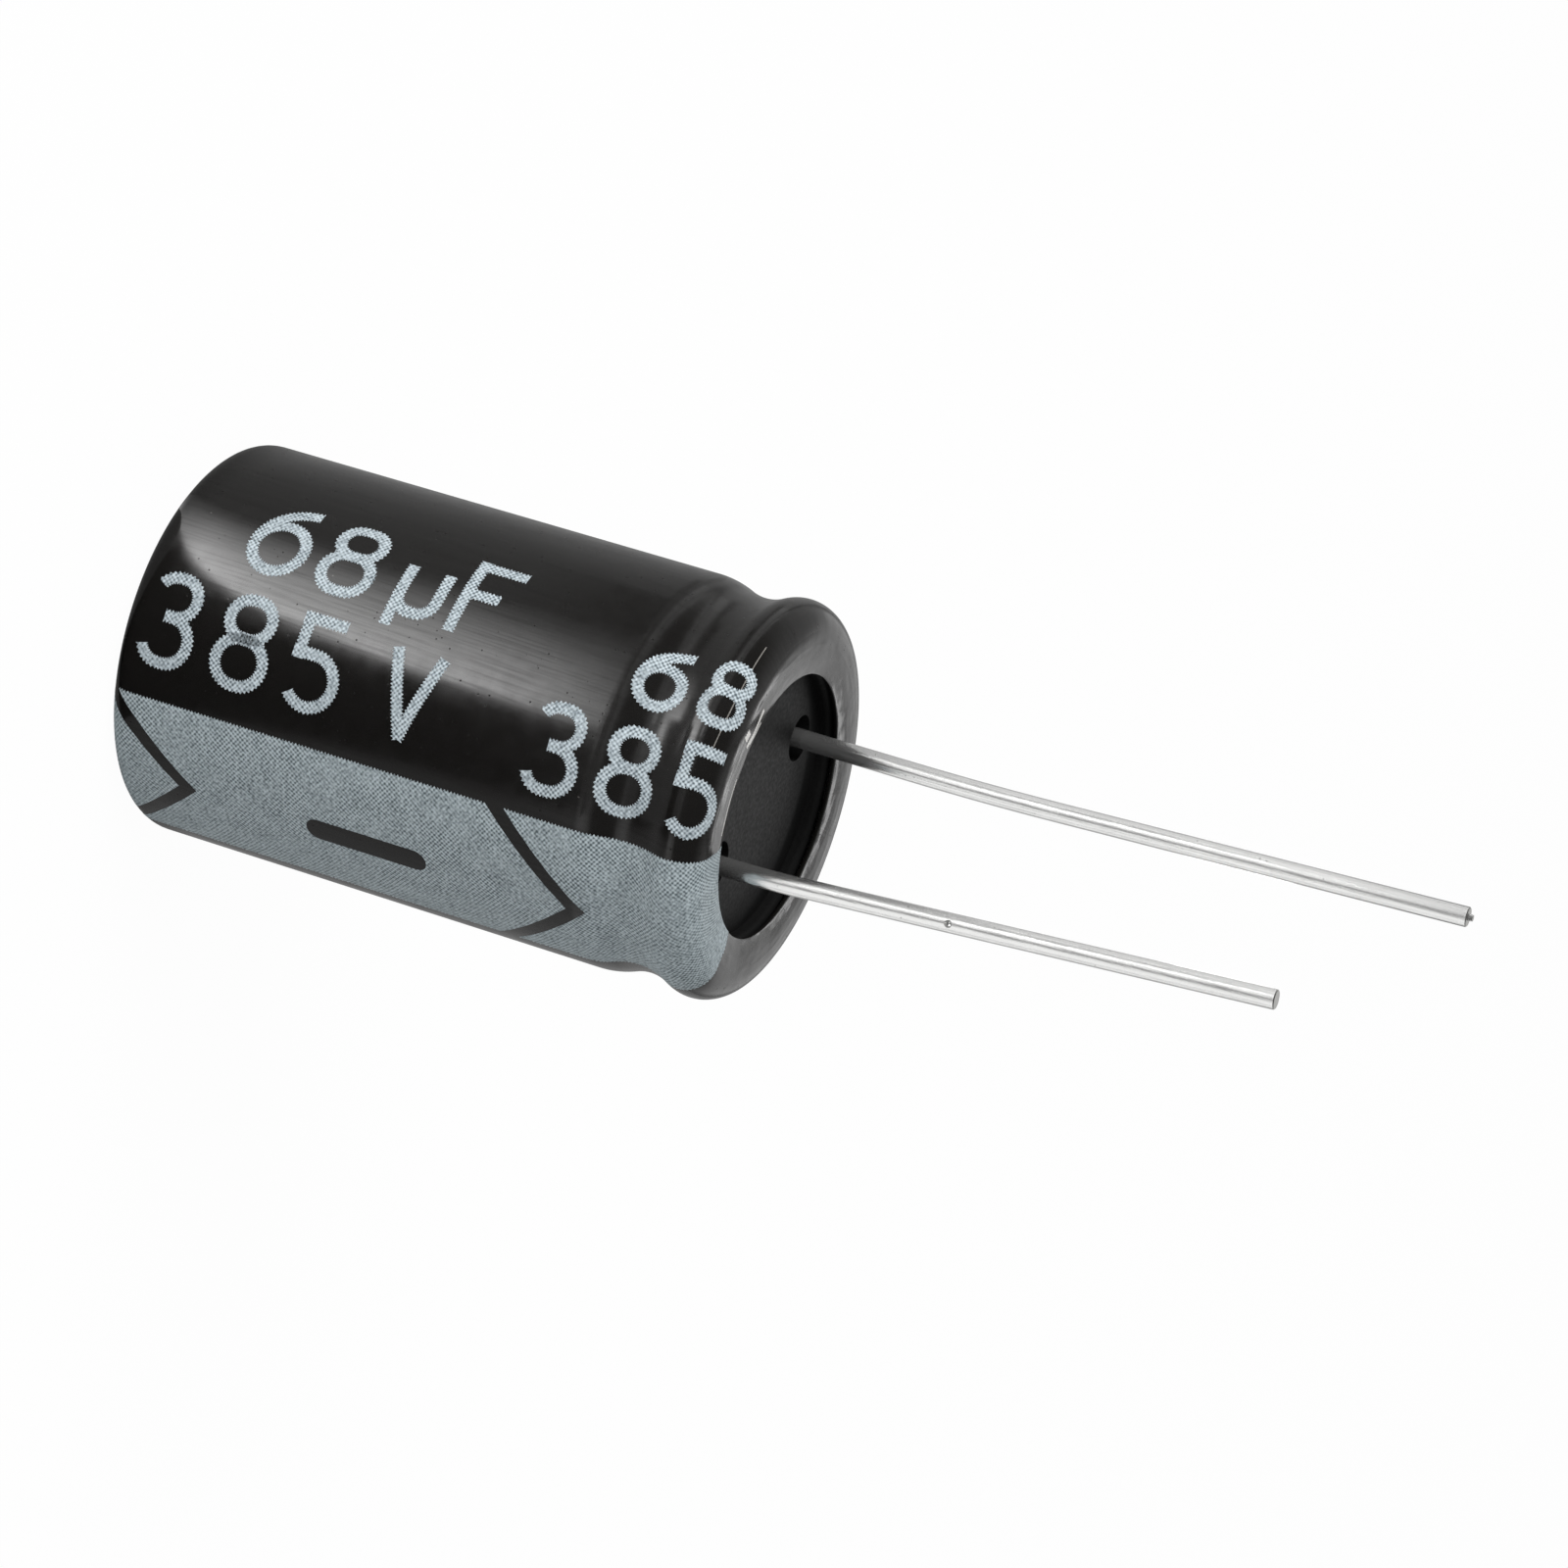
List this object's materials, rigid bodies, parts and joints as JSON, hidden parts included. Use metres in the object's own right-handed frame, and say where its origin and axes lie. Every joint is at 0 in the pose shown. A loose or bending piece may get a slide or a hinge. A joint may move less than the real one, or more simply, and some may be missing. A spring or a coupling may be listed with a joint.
{
  "type": "electrolytic capacitor",
  "caption": "Radial aluminium electrolytic capacitor: sleeved cylindrical can with a beaded rim, a rubber bung and two wire leads of unequal length, on its closed end.",
  "frame": {"origin": "middle of the face that the capacitor stands on, under its closed end", "axes": "+Z along the can to the leads, +X from the axis to the cathode's lead and the printed stripe, -X to the anode's lead"},
  "size_m": [0.0164, 0.0164, 0.0532],
  "materials": {
    "sleeve_film": "glossy black shrink film",
    "print_ink": "pale blue-grey printing ink on the film",
    "can_aluminium": "drawn, bare",
    "bung_rubber": "matte moulded black",
    "tinned_wire": "bright tin over copper-clad steel, drawn lengthwise",
    "tab_aluminium": "bare, coined",
    "roll_paper": "electrolyte-soaked kraft paper over foil",
    "roll_tape": "thin yellowish film tape"
  },
  "bodies": {
    "root": {"sleeve": "sleeve_film", "can": "can_aluminium", "bung": "bung_rubber", "anode_lead": "tinned_wire", "cathode_lead": "tinned_wire", "anode_tab": "tab_aluminium", "cathode_tab": "tab_aluminium", "winding": "roll_paper", "winding_tape": "roll_tape"}
  },
  "joints": []
}
